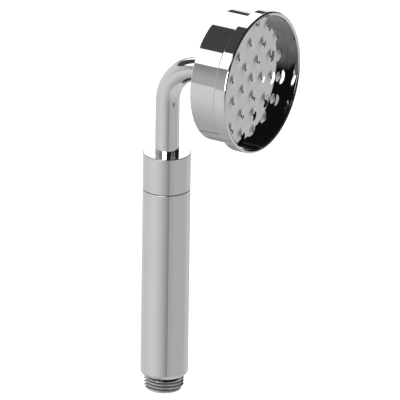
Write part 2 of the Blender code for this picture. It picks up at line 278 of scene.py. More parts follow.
def objectNoise(tree, scale, detail=3.0, stretch=(1.0, 1.0, 1.0)):
    coord = tree.nodes.new("ShaderNodeTexCoord")
    mapping = tree.nodes.new("ShaderNodeMapping")
    mapping.inputs["Scale"].default_value = stretch
    noise = tree.nodes.new("ShaderNodeTexNoise")
    noise.inputs["Scale"].default_value = scale
    noise.inputs["Detail"].default_value = detail
    tree.links.new(coord.outputs["Object"], mapping.inputs["Vector"])
    tree.links.new(mapping.outputs["Vector"], noise.inputs["Vector"])
    return noise.outputs["Fac"]


def ramp(tree, value, low, high, start=0.0, end=1.0):
    node = tree.nodes.new("ShaderNodeMapRange")
    node.inputs["From Min"].default_value = low
    node.inputs["From Max"].default_value = high
    node.inputs["To Min"].default_value = start
    node.inputs["To Max"].default_value = end
    tree.links.new(value, node.inputs["Value"])
    return node.outputs["Result"]


def math2(tree, operation, a, b):
    node = tree.nodes.new("ShaderNodeMath")
    node.operation = operation
    for socket, value in zip(node.inputs, (a, b)):
        if isinstance(value, bpy.types.NodeSocket):
            tree.links.new(value, socket)
        else:
            socket.default_value = value
    return node.outputs[0]


def times(tree, a, b):
    return math2(tree, "MULTIPLY", a, b)


def blendColours(tree, factor, first, second):
    node = tree.nodes.new("ShaderNodeMix")
    node.data_type = "RGBA"
    node.inputs[6].default_value = (*first, 1.0)
    node.inputs[7].default_value = (*second, 1.0)
    tree.links.new(factor, node.inputs[0])
    return node.outputs[2]


def objectParts(tree):
    # the X, Y and Z of a point on the piece
    coord = tree.nodes.new("ShaderNodeTexCoord")
    parts = tree.nodes.new("ShaderNodeSeparateXYZ")
    tree.links.new(coord.outputs["Object"], parts.inputs[0])
    return parts.outputs


def distance2(tree, a, b):
    squares = math2(tree, "ADD", times(tree, a, a), times(tree, b, b))
    return math2(tree, "SQRT", squares, 0.0)


def paintShadeWhere(tree, amount, tone):
    # pulls the finished colour to a painted shade tone where amount is 1
    colour = tree.nodes["Principled BSDF"].inputs["Base Color"]
    tint = tree.nodes.new("ShaderNodeMix")
    tint.data_type = "RGBA"
    tint.inputs[7].default_value = (*tone, 1.0)
    tree.links.new(colour.links[0].from_socket, tint.inputs[6])
    tree.links.new(amount, tint.inputs[0])
    tree.links.new(tint.outputs[2], colour)


def addBump(tree, shader, height, strength, distance):
    bump = tree.nodes.new("ShaderNodeBump")
    bump.inputs["Strength"].default_value = strength
    bump.inputs["Distance"].default_value = distance
    tree.links.new(height, bump.inputs["Height"])
    tree.links.new(bump.outputs["Normal"], shader.inputs["Normal"])


chromeLook = {
    "deep": (0.575, 0.576, 0.577),   # the tone of plated chrome, a touch cooler in thin places
    "bright": (0.605, 0.605, 0.605),
    "cloud": (38.0, 2.0),            # noise scale and detail
    "smear": (90.0, 4.0),
    "polish": (0.012, 0.045),        # roughness where freshly wiped and where handled
    "hair": (900.0, 2.0),            # fine scratches that run along the grip
    "scratch": 0.05,
    "grain": (1600.0, 2.0),
}


def makeChrome(name="polishedChrome", look=chromeLook):
    material, tree, shader = newMaterial(name)
    shader.inputs["Metallic"].default_value = 1.0
    cloud = objectNoise(tree, *look["cloud"])
    tree.links.new(blendColours(tree, cloud, look["deep"], look["bright"]), shader.inputs["Base Color"])
    smear = ramp(tree, objectNoise(tree, *look["smear"]), 0.35, 0.75, *look["polish"])
    hair = objectNoise(tree, *look["hair"], (1.0, 1.0, 0.04))
    scratch = ramp(tree, hair, 0.70, 0.80, 0.0, look["scratch"])
    tree.links.new(math2(tree, "ADD", smear, scratch), shader.inputs["Roughness"])
    addBump(tree, shader, objectNoise(tree, *look["grain"]), 0.02, 0.02 * mm)
    return material


threadShadeLook = {"grooveShadeAndDulling": (0.16, 0.16, 0.165), "rootAt": 9.3 * mm, "crestAt": 10.3 * mm, "endsAt": 1.0 * mm,
              "patches": (700.0, 3.0), "dull": 0.18}


def makeThreadShadeChrome(look=threadShadeLook):
    # the same plate with painted shade in the grooves of the thread, in patches, and rougher there
    material = makeChrome("threadShadeChrome")
    tree = material.node_tree
    roughness = tree.nodes["Principled BSDF"].inputs["Roughness"]
    parts = objectParts(tree)
    radius = distance2(tree, parts["X"], parts["Y"])
    deepness = ramp(tree, radius, look["crestAt"], look["rootAt"])
    above = ramp(tree, parts["Z"], look["endsAt"] * 0.7, look["endsAt"])
    patches = ramp(tree, objectNoise(tree, *look["patches"]), 0.25, 0.6, 0.75, 1.0)
    amount = times(tree, times(tree, deepness, above), patches)
    # painted shade: the colour is pulled dark toward the roots of the thread, above its lowest millimetre
    paintShadeWhere(tree, amount, look["grooveShadeAndDulling"])
    grooveShadeAndDulling = times(tree, amount, look["dull"])
    tree.links.new(math2(tree, "ADD", roughness.links[0].from_socket, grooveShadeAndDulling), roughness)
    return material


recessShadeLook = {"tone": (0.25, 0.25, 0.253), "wallAt": 36.13 * mm, "fade": 0.02 * mm}


def makeRecessShadeChrome(look=recessShadeLook):
    # the ring: bright outside, with painted shade down its inner wall
    material = makeChrome("recessShadeChrome")
    tree = material.node_tree
    parts = objectParts(tree)
    radius = distance2(tree, parts["Y"], math2(tree, "SUBTRACT", parts["Z"], headZ))
    inner = ramp(tree, radius, look["wallAt"], look["wallAt"] - look["fade"])
    # painted shade: the colour of the inner wall is pulled dark
    paintShadeWhere(tree, inner, look["tone"])
    return material


collarEdgeShadeLook = {"start": 0.36 * mm, "full": 0.22 * mm, "end": 0.05 * mm, "tone": (0.12, 0.12, 0.122)}


def makeCollarEdgeShadeChrome(look=collarEdgeShadeLook):
    # the collar: its top edge break carries painted shade, so it is darker
    top = collarHigh.z
    material = makeChrome("collarEdgeShadeChrome")
    tree = material.node_tree
    parts = objectParts(tree)
    below = ramp(tree, parts["Z"], top - look["start"], top - look["full"])
    above = ramp(tree, parts["Z"], top - look["end"], top, 1.0, 0.0)
    # painted shade: a dark band round the top edge break
    paintShadeWhere(tree, times(tree, below, above), look["tone"])
    return material


# turned brass is browner where it has stood wet, and the lathe tool leaves fine rings
brassLook = {"metallic": 1.0, "cloud": (130.0, 4.0), "spread": (0.3, 0.7), "from": (0.80, 0.61, 0.28),
             "to": (0.62, 0.42, 0.17), "dull": (0.22, 0.42), "grain": (2600.0, 1.0, (0.04, 0.04, 1.0)),
             "bump": (0.25, 0.02 * mm)}
steelLook = {"metallic": 1.0, "cloud": (420.0, 3.0), "spread": (0.3, 0.7), "from": (0.58, 0.58, 0.58),
             "to": (0.40, 0.40, 0.41), "dull": (0.16, 0.30), "grain": (3000.0, 2.0),
             "bump": (0.1, 0.01 * mm)}
# black rubber carries a faint grey bloom
rubberLook = {"metallic": 0.0, "cloud": (260.0, 5.0), "spread": (0.45, 0.8), "from": (0.012, 0.012, 0.012),
              "to": (0.045, 0.045, 0.047), "dull": (0.45, 0.68), "grain": (2200.0, 3.0),
              "bump": (0.2, 0.02 * mm)}
# moulded plastic has slow flow marks and a fine eggshell surface
whiteLook = {"metallic": 0.0, "cloud": (60.0, 3.0, (1.0, 1.0, 0.3)), "spread": (0.3, 0.7),
             "from": (0.82, 0.82, 0.80), "to": (0.70, 0.69, 0.65), "dull": (0.30, 0.46),
             "shine": (500.0, 3.0), "grain": (1800.0, 2.0), "bump": (0.15, 0.02 * mm)}
greyLook = {**whiteLook, "from": (0.30, 0.31, 0.32), "to": (0.22, 0.225, 0.235), "dull": (0.34, 0.50)}


def makeMottled(name, look):
    # a finish whose colour and roughness drift over the piece, with a fine grain
    material, tree, shader = newMaterial(name)
    shader.inputs["Metallic"].default_value = look["metallic"]
    cloud = ramp(tree, objectNoise(tree, *look["cloud"]), *look["spread"])
    tree.links.new(blendColours(tree, cloud, look["from"], look["to"]), shader.inputs["Base Color"])
    shine = ramp(tree, objectNoise(tree, *look["shine"]), 0.3, 0.7) if "shine" in look else cloud
    tree.links.new(ramp(tree, shine, 0.0, 1.0, *look["dull"]), shader.inputs["Roughness"])
    addBump(tree, shader, objectNoise(tree, *look["grain"]), *look["bump"])
    return material


chrome = makeChrome()
collarEdgeShadeChrome = makeCollarEdgeShadeChrome()
threadShadeChrome = makeThreadShadeChrome()
recessShadeChrome = makeRecessShadeChrome()
brass = makeMottled("turnedBrass", brassLook)
steel = makeMottled("springSteel", steelLook)
rubber = makeMottled("sealRubber", rubberLook)
whitePlastic = makeMottled("whiteAcetal", whiteLook)
greyPlastic = makeMottled("greyAcetal", greyLook)
print("materials made")


gripLook = {"wall": 1.5 * mm, "lowerEdge": 2.6 * mm, "seamEdge": 0.18 * mm, "floorTop": 16.0 * mm,
            "floorBore": 9.8 * mm}


def makeGrip(look=gripLook):
    outer = gripHigh.x
    inner = outer - look["wall"]
    lathe("grip", [
        (outer, gripHigh.z, look["seamEdge"]),
        (outer, gripLow.z, look["lowerEdge"]),
        (look["floorBore"], gripLow.z),
        (look["floorBore"], look["floorTop"]),
        (inner, look["floorTop"]),
        (inner, gripHigh.z),
    ], chrome, "handle", ["handle_grip"], "chrome", steps=192, arcSteps=8)


collarLook = {"topEdge": 0.35 * mm, "seamEdge": 0.18 * mm, "spigot": 10.9 * mm, "cavity": 9.0 * mm,
              "ceiling": 3.0 * mm, "grooveAt": 4.4 * mm, "grooveHigh": 1.3 * mm, "grooveDeep": 1.0 * mm}


def makeCollar(look=collarLook):
    outer = collarHigh.x
    seam = gripHigh.z + gap
    top = collarHigh.z
    spigot = look["spigot"]
    grooveTop = seam - look["grooveAt"] + look["grooveHigh"] / 2
    grooveFoot = grooveTop - look["grooveHigh"]
    floor = spigot - look["grooveDeep"]
    lathe("collar", [
        (outer, top, look["topEdge"]),
        (outer, seam, look["seamEdge"]),
        (spigot, seam),
        (spigot, grooveTop),
        (floor, grooveTop),
        (floor, grooveFoot),
        (spigot, grooveFoot),
        (spigot, collarLow.z, 0.3 * mm),
        (look["cavity"], collarLow.z),
        (look["cavity"], top - look["ceiling"]),
        (neckRadius + gap / 2, top - look["ceiling"]),
        (neckRadius + gap / 2, top),
    ], collarEdgeShadeChrome, "handle", ["handle_collar"], "chrome", steps=192)


neckLook = {"bend": 22.0 * mm, "wall": 1.35 * mm, "sides": 128, "bendSteps": 72}


def neckPath(look=neckLook):
    # centre line stations: (point, direction), straight up, a quarter turn, straight into the head
    centre = Vector((look["bend"], 0.0, headZ - look["bend"]))
    support = 1.0 * mm   # an extra station beside each end of the bend
    stations = [(Vector((0.0, 0.0, neckLow.z)), 0.0), (Vector((0.0, 0.0, centre.z - support)), 0.0)]
    for k in range(look["bendSteps"] + 1):
        swing = math.pi / 2 * k / look["bendSteps"]
        spot = centre + Vector((-math.cos(swing), 0.0, math.sin(swing))) * look["bend"]
        stations.append((spot, swing))
    stations.append((Vector((look["bend"] + support, 0.0, headZ)), math.pi / 2))
    stations.append((Vector((neckHigh.x, 0.0, headZ)), math.pi / 2))
    return stations


def makeNeck(look=neckLook):
    work = bmesh.new()
    loops = []
    inner = neckRadius - look["wall"]
    path = neckPath()
    sections = [(s, neckRadius) for s in path] + [(s, inner) for s in reversed(path)]
    for (spot, swing), radius in sections:
        out = Vector((-math.cos(swing), 0.0, math.sin(swing)))
        side = Vector((0.0, 1.0, 0.0))
        loops.append([work.verts.new(spot + out * across + side * up)
                      for across, up in ringSpots(radius, look["sides"])])
    for upper, lower in zip(loops, loops[1:] + loops[:1]):
        for k in range(look["sides"]):
            work.faces.new((upper[k - 1], lower[k - 1], lower[k], upper[k]))
    bmesh.ops.recalc_face_normals(work, faces=work.faces)
    finishPiece("neckTube", meshFrom(work, "neckTube"), chrome, "neck_and_head", ["neck_tube"])


shellLook = {"wall": 1.7 * mm, "backWall": 2.0 * mm, "backEdge": 0.45 * mm, "throughHole": 6.05 * mm,
             "counterbore": 1.0 * mm}


def makeShell(look=shellLook):
    outer = shellHigh.y
    inner = outer - look["wall"]
    back = shellLow.x
    inside = back + look["backWall"]
    mouth = neckRadius + gap / 2
    lathe("roseShell", [
        (outer, shellHigh.x),
        (outer, back, look["backEdge"]),
        (mouth, back),
        (mouth, back + look["counterbore"]),
        (look["throughHole"], back + look["counterbore"]),
        (look["throughHole"], inside),
        (inner, inside, 1.0 * mm),
        (inner, shellHigh.x),
    ], chrome, "neck_and_head", ["rose_body"], "chrome", place=alongX, steps=256)


rimLook = {"bore": 36.1 * mm, "rearBevel": 1.0 * mm, "outerEdge": 0.95 * mm, "innerEdge": 0.18 * mm,
           "lipStart": 1.15 * mm, "lipDrop": 0.55 * mm}


def makeRing(look=rimLook):
    outer = ringHigh.y
    front = ringHigh.x
    rear = ringLow.x
    lathe("faceRing", [
        (outer, front, look["outerEdge"]),
        (outer, rear + look["rearBevel"], softEdge),
        (outer - look["rearBevel"], rear, softEdge),
        (look["bore"], rear),
        (look["bore"], front - look["lipDrop"], look["innerEdge"]),
        (outer - look["lipStart"], front, softEdge),
    ], recessShadeChrome, "neck_and_head", ["face_ring"], "chrome", place=alongX, steps=256)


jetLook = {"domeRadius": 4.75 * mm, "domeHeight": 0.50 * mm, "jetRadius": 0.62 * mm, "ringGap": 10.0 * mm,
           "rings": 3, "jetsPerRing": 5, "firstSpoke": math.radians(76.5), "sunk": 0.15 * mm,
           "shank": 1.1 * mm, "shankDeep": 2.0 * mm, "clearance": 0.05 * mm, "lip": 0.08 * mm,
           "profileSteps": 22, "conePeak": 3.0 * mm, "steep": 0.168, "crownEase": 0.16, "footEase": 0.75}
faceX = plateHigh.x - jetLook["domeHeight"]   # front of the flat plate; the domes stand proud of it


def nozzleProfile(look=jetLook):
    # from the jet's mouth outward: a cone that eases out into the flat plate
    steps = look["profileSteps"]
    reach = look["domeRadius"] - look["jetRadius"]
    spans = [look["jetRadius"] + reach * k / steps for k in range(steps + 1)]

    def slope(radius):
        if radius < look["conePeak"]:
            return look["steep"] * (1 - look["crownEase"] * (look["conePeak"] - radius) / look["conePeak"])
        ease = (radius - look["conePeak"]) / (look["domeRadius"] - look["conePeak"])
        return look["steep"] * max(0.0, 1 - ease) ** look["footEase"]

    heights = [0.0]
    for outer, inner in zip(reversed(spans[1:]), reversed(spans[:-1])):
        heights.append(heights[-1] + slope((outer + inner) / 2) * (outer - inner))
    return list(zip(spans, reversed(heights)))


def nozzleMesh(look=jetLook):
    # one domed jet, turned about Z with the plate's surface at height 0
    corners = [(look["jetRadius"], nozzleProfile(look)[0][1] - look["lip"])]
    corners += [(radius + look["lip"] * (radius == look["jetRadius"]), height)
                for radius, height in nozzleProfile(look)]
    corners += [
        (look["domeRadius"], -look["sunk"]),
        (look["shank"], -look["sunk"]),
        (look["shank"], -look["shankDeep"]),
        (look["jetRadius"], -look["shankDeep"]),
    ]
    return latheMesh("nozzle", corners, steps=64, place=alongZ, margin=0.05 * mm)


def makeNozzles(look=jetLook):
    tree = newTree("jetRings", {
        "Nozzle": ("Object", None),
        "Ring Gap": ("Float", look["ringGap"]),
        "Jets Per Ring": ("Int", look["jetsPerRing"]),
        "First Spoke": ("Float", 0.0),
        "Face": ("Float", faceX),
        "Axis Height": ("Float", headZ),
    })
    given = tree.nodes.new("NodeGroupInput").outputs
    everyPoint = addNode(tree, "GeometryNodeJoinGeometry")
    tree.links.new(grow(tree, "MeshLine", Count=1), everyPoint.inputs[0])
    for ring in range(1, look["rings"] + 1):
        count = times(tree, given["Jets Per Ring"], ring)
        reach = times(tree, given["Ring Gap"], ring)
        tree.links.new(grow(tree, "MeshCircle", Vertices=count, Radius=reach), everyPoint.inputs[0])
    info = addNode(tree, "GeometryNodeObjectInfo", Object=given["Nozzle"])
    placed = grow(tree, "InstanceOnPoints", Points=everyPoint.outputs[0], Instance=info.outputs["Geometry"])
    solid = grow(tree, "RealizeInstances", Geometry=placed)
    spun = grow(tree, "Transform", Geometry=solid, Rotation=combine(tree, Z=given["First Spoke"]))
    where = combine(tree, X=given["Face"], Z=given["Axis Height"])
    tipped = grow(tree, "Transform", Geometry=spun, Translation=where, Rotation=(0.0, math.pi / 2, 0.0))
    endTree(tree, tipped, chrome)
    nozzle = bpy.data.objects.new("nozzlePattern", nozzleMesh())
    scene.collection.objects.link(nozzle)
    mesh = growMesh("sprayNozzles", tree, {"Nozzle": nozzle, "First Spoke": look["firstSpoke"]})
    bpy.data.objects.remove(nozzle, do_unlink=True)
    finishPiece("sprayNozzles", mesh, chrome, "neck_and_head", sharp=25.0)


plateLook = {"rim": 36.04 * mm, "edge": 0.5 * mm, "thick": 2.0 * mm, "skirtOuter": 33.2 * mm,
             "skirtInner": 31.0 * mm, "groove": (31.9 * mm, 46.2 * mm, 47.8 * mm)}


def makePlate(look=plateLook, jets=jetLook):
    grooveRadius, grooveBack, grooveFront = look["groove"]
    mesh = latheMesh("sprayPlate", [
        (0.0, faceX),
        (look["rim"], faceX),
        (look["rim"], faceX - look["edge"]),
        (look["skirtOuter"], faceX - look["edge"]),
        (look["skirtOuter"], grooveFront),
        (grooveRadius, grooveFront),
        (grooveRadius, grooveBack),
        (look["skirtOuter"], grooveBack),
        (look["skirtOuter"], plateLow.x),
        (look["skirtInner"], plateLow.x),
        (look["skirtInner"], faceX - look["thick"]),
        (0.0, faceX - look["thick"]),
    ], place=alongX, steps=192)
    drills = bmesh.new()
    wide = jets["shank"] + jets["clearance"]
    for ring in range(jets["rings"] + 1):
        count = max(1, ring * jets["jetsPerRing"])
        for k in range(count):
            angle = jets["firstSpoke"] - math.pi / 2 + 2 * math.pi * k / count
            reach = ring * jets["ringGap"]
            spot = Vector((faceX, reach * math.cos(angle), headZ + reach * math.sin(angle)))
            turned = Matrix.Translation(spot) @ Matrix.Rotation(math.pi / 2, 4, "Y")
            bmesh.ops.create_cone(drills, cap_ends=True, segments=24, radius1=wide, radius2=wide,
                                  depth=4 * look["thick"], matrix=turned)
    finishPiece("sprayPlate", carve(mesh, meshFrom(drills, "drills")), chrome, "neck_and_head",
                ["spray_plate"])


tailLook = {"crest": 10.478 * mm, "root": 9.316 * mm, "pitch": 1.814 * mm, "bore": 7.5 * mm,
            "stepAt": 8.0 * mm, "innerBore": 6.2 * mm, "shank": 9.5 * mm, "mouthEdge": 0.25 * mm,
            "startAt": 1.0 * mm, "endAt": 7.9 * mm, "rootShare": 0.90, "crestShare": 0.16,
            "fadeIn": 0.05, "fadeOut": 0.07}


def makeTail(look=tailLook):
    seat = gripLow.z
    lathe("hoseTail", [
        (look["shank"], tailHigh.z),
        (look["shank"], seat),
        (look["root"], seat),
        (look["root"], 0.0, 0.35 * mm),
        (look["bore"], 0.0, look["mouthEdge"]),
        (look["bore"], look["stepAt"]),
        (look["innerBore"], look["stepAt"]),
        (look["innerBore"], tailHigh.z),
    ], threadShadeChrome, "handle", ["hose_tail"], "chrome", steps=128)


def makeThread(look=tailLook):
    tree = newTree("hoseThreadHelix", {
        "Radius": ("Float", look["root"]),
        "Pitch": ("Float", look["pitch"]),
        "Start": ("Float", look["startAt"]),
        "End": ("Float", look["endAt"]),
        "Depth": ("Float", look["crest"] - look["root"]),
    })
    given = tree.nodes.new("NodeGroupInput").outputs
    rise = math2(tree, "SUBTRACT", given["End"], given["Start"])
    turns = math2(tree, "DIVIDE", rise, given["Pitch"])
    helix = grow(tree, "CurveSpiral", Resolution=128, Rotations=turns, Start_Radius=given["Radius"],
                 End_Radius=given["Radius"], Height=rise)
    upright = grow(tree, "SetCurveNormal", {"mode": "Z_UP"}, Curve=helix)
    share = addNode(tree, "GeometryNodeSplineParameter").outputs["Factor"]
    eased = {"interpolation_type": "SMOOTHSTEP"}
    fadeIn = addNode(tree, "ShaderNodeMapRange", eased, Value=share, From_Min=0.0, From_Max=look["fadeIn"])
    fadeOut = addNode(tree, "ShaderNodeMapRange", eased, Value=share, From_Min=1.0,
                      From_Max=1.0 - look["fadeOut"])
    fade = times(tree, fadeIn.outputs[0], fadeOut.outputs[0])
    flank = grow(tree, "CurvePrimitiveQuadrilateral", {"mode": "TRAPEZOID"}, Height=given["Depth"],
                 Bottom_Width=look["pitch"] * look["rootShare"],
                 Top_Width=look["pitch"] * look["crestShare"], Offset=0.0)
    stand = combine(tree, X=times(tree, given["Depth"], -0.5))
    outward = grow(tree, "Transform", Geometry=flank, Translation=stand, Rotation=(0.0, 0.0, math.pi / 2))
    body = grow(tree, "CurveToMesh", Curve=upright, Profile_Curve=outward, Scale=fade, Fill_Caps=True)
    endTree(tree, grow(tree, "Transform", Geometry=body, Translation=combine(tree, Z=given["Start"])),
            threadShadeChrome)
    finishPiece("hoseThread", growMesh("hoseThread", tree), threadShadeChrome, "handle",
                sharp=25.0)


makeGrip()
makeCollar()
makeNeck()
makeShell()
makeRing()
makeNozzles()
makePlate()
makeTail()
makeThread()
print("visible pieces made")


# round seals: node, body, middle radius and wire radius in millimetres
sealLook = {
    "collarSeal": ("collar_o_ring", "handle", 10.55, 0.35),
    "tailSeal": ("tail_o_ring", "handle", 9.05, 0.45),
    "regulatorRing": ("flow_regulator_ring", "handle", 4.6, 0.8),
    "swivelSealUpper": ("swivel_o_ring_upper", "neck_and_head", 6.6, 0.7),
    "swivelSealLower": ("swivel_o_ring_lower", "neck_and_head", 6.6, 0.7),
    "faceSeal": ("face_seal", "neck_and_head", 32.7, 0.5),
}


def makeSeals(look=sealLook, sides=20):
    for name, (node, body, radius, wireRadius) in look.items():
        low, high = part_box(node)
        inHead = node == "face_seal"
        height = (low.x + high.x) / 2 if inHead else (low.z + high.z) / 2
        section = [(radius * mm + across, height + up) for across, up in ringSpots(wireRadius * mm, sides)]
        lathe(name, section, rubber, body, [node], "rubber", place=alongX if inHead else alongZ,
              margin=wireRadius * mm, steps=128)


# plain turned sleeves: node, body, material, slot, bore and edge break in millimetres
sleeveLook = {
    "waterTube": ("water_tube", "handle", whitePlastic, "white_plastic", 5.8, 0.2),
    "thrustWasher": ("thrust_washer", "handle", whitePlastic, "white_plastic", 7.3, 0.12),
    "thrustSleeve": ("thrust_sleeve", "handle", whitePlastic, "white_plastic", 6.65, 0.25),
    "poppetSeal": ("poppet_seal", "check_valve", rubber, "rubber", 1.9, 0.12),
    "roseWasher": ("rose_washer", "neck_and_head", rubber, "rubber", 6.05, 0.2),
}


def makeSleeves(look=sleeveLook):
    for name, (node, body, material, slot, bore, edge) in look.items():
        low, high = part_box(node)
        inHead = node == "rose_washer"
        bottom, top, outer = (low.x, high.x, high.y) if inHead else (low.z, high.z, high.x)
        lathe(name, [
            (outer, top, edge * mm),
            (outer, bottom, edge * mm),
            (bore * mm, bottom, edge * mm),
            (bore * mm, top, edge * mm),
        ], material, body, [node], slot, place=alongX if inHead else alongZ, steps=96)


def threadSteps(outer, depth, high, low, pitch):
    # corners of fine thread ridges down the outside of a turned piece
    corners = []
    count = int((high - low) / pitch)
    for k in range(count):
        top = high - (k + 0.15) * pitch
        corners += [(outer, top), (outer, top - 0.2 * pitch), (outer - depth, top - 0.55 * pitch),
                    (outer - depth, top - 0.65 * pitch)]
    return corners


glandLook = {"ridge": 0.32 * mm, "pitch": 1.0 * mm, "plain": 1.0 * mm, "socket": 7.3 * mm,
             "shelf": (103.5 * mm, 105.2 * mm), "shelfBore": 6.0 * mm, "bore": 7.6 * mm}


def makeGlandNut(look=glandLook):
    # threaded outside; the water tube ends under its inner shelf, and the neck's seals run above it
    shelfFoot, shelfTop = look["shelf"]
    low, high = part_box("gland_nut")
    outer = high.x
    ridges = threadSteps(outer, look["ridge"], high.z - look["plain"], low.z + look["plain"], look["pitch"])
    lathe("glandNut", [(outer - look["ridge"], high.z, fineEdge)] + ridges + [
        (outer - look["ridge"], low.z, softEdge),
        (look["socket"], low.z, softEdge),
        (look["socket"], shelfFoot),
        (look["shelfBore"], shelfFoot, fineEdge),
        (look["shelfBore"], shelfTop, fineEdge),
        (look["bore"], shelfTop),
        (look["bore"], high.z, fineEdge),
    ], brass, "handle", ["gland_nut"], "brass", steps=128)


lockNutLook = {"bore": 9.8 * mm, "slotWide": 2.0 * mm, "slotDeep": 1.2 * mm}


def makeLockNut(look=lockNutLook):
    # a plain ring nut with four slots for its driver
    low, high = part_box("tail_lock_nut")
    outer = high.x
    mesh = latheMesh("tailLockNut", [
        (outer, high.z, 0.3 * mm),
        (outer, low.z, softEdge),
        (look["bore"], low.z, softEdge),
        (look["bore"], high.z, softEdge),
    ], steps=128)
    slots = bmesh.new()
    for turn in (0.0, math.pi / 2):
        matrix = (Matrix.Translation((0.0, 0.0, high.z)) @ Matrix.Rotation(turn, 4, "Z")
                  @ Matrix.Diagonal((4 * outer, look["slotWide"], 2 * look["slotDeep"], 1.0)))
        bmesh.ops.create_cube(slots, size=1.0, matrix=matrix)
    finishPiece("tailLockNut", carve(mesh, meshFrom(slots, "slots")), brass, "handle", ["tail_lock_nut"])


spigotLook = {"flangeTop": 122.0 * mm, "flangeFoot": 119.3 * mm, "shank": 7.0 * mm, "bore": 3.7 * mm,
              "grooveFloor": 5.6 * mm, "grooves": (113.0 * mm, 109.0 * mm), "halfGroove": 1.0 * mm}


def makeSpigot(look=spigotLook):
    low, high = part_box("swivel_spigot")
    nose = neckRadius - neckLook["wall"] - gap
    corners = [
        (nose, high.z, softEdge),
        (nose, look["flangeTop"]),
        (high.x, look["flangeTop"], softEdge),
        (high.x, look["flangeFoot"], softEdge),
        (look["shank"], look["flangeFoot"]),
    ]
    for height in look["grooves"]:
        top = height + look["halfGroove"]
        foot = height - look["halfGroove"]
        corners += [
            (look["shank"], top, 0.1 * mm),
            (look["grooveFloor"], top, fineEdge),
            (look["grooveFloor"], foot, fineEdge),
            (look["shank"], foot, 0.1 * mm),
        ]
    corners += [
        (look["shank"], low.z, 0.4 * mm),
        (look["bore"], low.z, softEdge),
        (look["bore"], high.z, softEdge),
    ]
    lathe("swivelSpigot", corners, brass, "neck_and_head", ["swivel_spigot"], "brass", steps=128)


roseSpigotLook = {"counterbore": 1.0 * mm, "ridge": 0.192 * mm, "plain": 0.6 * mm, "neck": 0.32 * mm}


def makeRoseSpigot(look=roseSpigotLook):
    low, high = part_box("rose_spigot")
    shoulder = shellLow.x + look["counterbore"]
    nose = neckRadius - neckLook["wall"] - gap
    ridges = threadSteps(high.y, look["ridge"], high.x - look["plain"], shoulder + look["plain"],
                         glandLook["pitch"])
    lathe("roseSpigot", [(high.y - look["neck"], high.x, fineEdge)] + ridges + [
        (high.y - look["neck"], shoulder, 0.1 * mm),
        (nose, shoulder),
        (nose, low.x, softEdge),
        (spigotLook["bore"], low.x, softEdge),
        (spigotLook["bore"], high.x, softEdge),
    ], brass, "neck_and_head", ["rose_spigot"], "brass", place=alongX, steps=96)


def drilled(mesh, spots, radius, low, high, place=alongZ):
    # the mesh with round holes right through it, from low to high
    through = 1.0 * mm
    return carve(mesh, drillMesh(spots, radius, low - through, high + through, place))


regulatorLook = {"floorThick": 2.0 * mm, "pinBelow": 0.4 * mm, "pin": 2.2 * mm, "cup": 8.0 * mm,
                 "slotReach": 4.6 * mm, "slots": 8, "slotRadius": 0.8 * mm}


def makeRegulatorCup(look=regulatorLook):
    low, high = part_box("flow_regulator_body")
    floor = low.z + look["floorThick"]
    pinTop = high.z - look["pinBelow"]
    cup = latheMesh("regulatorCup", [
        (0.0, pinTop),
        (look["pin"], pinTop, softEdge),
        (look["pin"], floor, fineEdge),
        (look["cup"], floor, softEdge),
        (look["cup"], high.z, fineEdge),
        (high.x, high.z, fineEdge),
        (high.x, low.z, 0.3 * mm),
        (0.0, low.z),
    ], steps=96)
    spots = ringSpots(look["slotReach"], look["slots"])
    finishPiece("regulatorCup", drilled(cup, spots, look["slotRadius"], low.z, floor), whitePlastic,
                "handle", ["flow_regulator_body"])


housingLook = {"seat": 4.0 * mm, "seatThick": 2.0 * mm, "wall": 6.8 * mm, "socketDeep": 5.8 * mm,
               "socketWall": 7.3 * mm}


def makeValveHousing(look=housingLook):
    low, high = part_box("valve_housing")
    seatTop = low.z + look["seatThick"]
    socket = high.z - look["socketDeep"]
    lathe("valveHousing", [
        (high.x, high.z, softEdge),
        (high.x, low.z, 0.5 * mm),
        (look["seat"], low.z, 0.3 * mm),
        (look["seat"], seatTop, 0.25 * mm),
        (look["wall"], seatTop, softEdge),
        (look["wall"], socket, 0.1 * mm),
        (look["socketWall"], socket),
        (look["socketWall"], high.z, softEdge),
    ], greyPlastic, "handle", ["valve_housing"], "grey_plastic", steps=128)


guideLook = {"bore": 1.3 * mm, "holeReach": 4.0 * mm, "holes": 6, "holeRadius": 1.5 * mm}


def makeValveGuide(look=guideLook):
    low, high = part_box("valve_guide")
    guide = latheMesh("valveGuide", [
        (high.x, high.z, fineEdge),
        (high.x, low.z, fineEdge),
        (look["bore"], low.z, fineEdge),
        (look["bore"], high.z, fineEdge),
    ], steps=96)
    spots = ringSpots(look["holeReach"], look["holes"])
    finishPiece("valveGuide", drilled(guide, spots, look["holeRadius"], low.z, high.z), whitePlastic,
                "handle", ["valve_guide"])


poppetLook = {"stem": 1.0 * mm, "discFoot": 30.1 * mm, "discTop": 31.5 * mm, "tail": 1.6 * mm}


def makePoppet(look=poppetLook):
    low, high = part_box("valve_poppet")
    lathe("valvePoppet", [
        (0.0, high.z),
        (look["stem"], high.z, 0.3 * mm),
        (look["stem"], look["discTop"], 0.25 * mm),
        (high.x, look["discTop"], 0.3 * mm),
        (high.x, look["discFoot"], softEdge),
        (look["tail"], look["discFoot"], softEdge),
        (look["tail"], low.z, 0.5 * mm),
        (0.0, low.z),
    ], whitePlastic, "check_valve", ["valve_poppet"], "white_plastic", steps=96)


spreaderLook = {"edge": 0.25 * mm, "holeRadius": 1.5 * mm, "rings": ((12.0 * mm, 6), (24.0 * mm, 12))}


